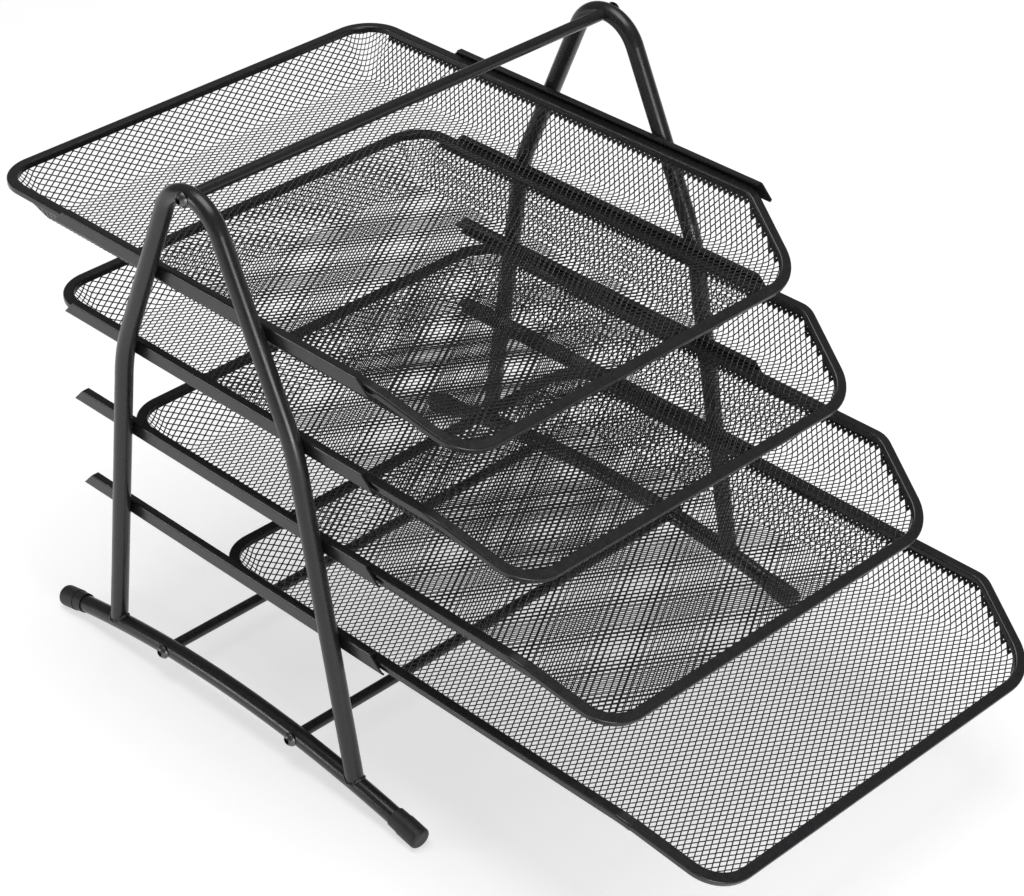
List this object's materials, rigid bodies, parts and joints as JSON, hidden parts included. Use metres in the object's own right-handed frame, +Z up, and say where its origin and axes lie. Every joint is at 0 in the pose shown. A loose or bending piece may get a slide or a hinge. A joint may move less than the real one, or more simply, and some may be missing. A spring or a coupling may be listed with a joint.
{
  "type": "letter tray rack",
  "caption": "Free-standing desk rack with expanded-metal letter trays that slide forward on rails between two bent-tube side frames.",
  "frame": {"origin": "On the desk surface, at the middle of the bounding box of the rack with its trays pulled out as in the picture", "axes": "+Z is up, the trays pull out towards -Y, +X is to the right of someone who faces the front"},
  "size_m": [0.3048, 0.5236, 0.3289],
  "materials": {
    "powder_black": "satin black powder coat",
    "mesh_black": "satin black powder coat on expanded metal",
    "cap_black": "matte black moulded plastic",
    "screw_steel": "zinc-plated steel"
  },
  "bodies": {
    "frame": {"left_side_frame": "powder_black", "right_side_frame": "powder_black", "left_base_tube": "powder_black", "right_base_tube": "powder_black", "front_left_foot_cap": "cap_black", "rear_left_foot_cap": "cap_black", "front_right_foot_cap": "cap_black", "rear_right_foot_cap": "cap_black", "top_crossbar": "powder_black", "rear_base_crossbar": "powder_black", "front_base_crossbar": "powder_black", "top_screws": "screw_steel", "base_screws": "screw_steel", "left_rail_1": "powder_black", "left_rail_2": "powder_black", "left_rail_3": "powder_black", "left_rail_4": "powder_black", "right_rail_1": "powder_black", "right_rail_2": "powder_black", "right_rail_3": "powder_black", "right_rail_4": "powder_black"},
    "tray_1": {"tray_1_rim": "powder_black", "tray_1_floor": "mesh_black", "tray_1_rear_wall": "mesh_black", "tray_1_left_wall": "mesh_black", "tray_1_right_wall": "mesh_black", "tray_1_left_corner": "mesh_black", "tray_1_right_corner": "mesh_black"},
    "tray_2": {"tray_2_rim": "powder_black", "tray_2_floor": "mesh_black", "tray_2_rear_wall": "mesh_black", "tray_2_left_wall": "mesh_black", "tray_2_right_wall": "mesh_black", "tray_2_left_corner": "mesh_black", "tray_2_right_corner": "mesh_black"},
    "tray_3": {"tray_3_rim": "powder_black", "tray_3_floor": "mesh_black", "tray_3_rear_wall": "mesh_black", "tray_3_left_wall": "mesh_black", "tray_3_right_wall": "mesh_black", "tray_3_left_corner": "mesh_black", "tray_3_right_corner": "mesh_black"},
    "tray_4": {"tray_4_rim": "powder_black", "tray_4_floor": "mesh_black", "tray_4_rear_wall": "mesh_black", "tray_4_left_wall": "mesh_black", "tray_4_right_wall": "mesh_black", "tray_4_left_corner": "mesh_black", "tray_4_right_corner": "mesh_black"}
  },
  "joints": [
    {"name": "tray_1_slide", "type": "slide", "parent": "frame", "child": "tray_1", "axis": [0, -1, 0], "range_m": [0, 0.178]},
    {"name": "tray_2_slide", "type": "slide", "parent": "frame", "child": "tray_2", "axis": [0, -1, 0], "range_m": [-0.041, 0.137]},
    {"name": "tray_3_slide", "type": "slide", "parent": "frame", "child": "tray_3", "axis": [0, -1, 0], "range_m": [-0.097, 0.081]},
    {"name": "tray_4_slide", "type": "slide", "parent": "frame", "child": "tray_4", "axis": [0, -1, 0], "range_m": [-0.169, 0.009]}
  ]
}
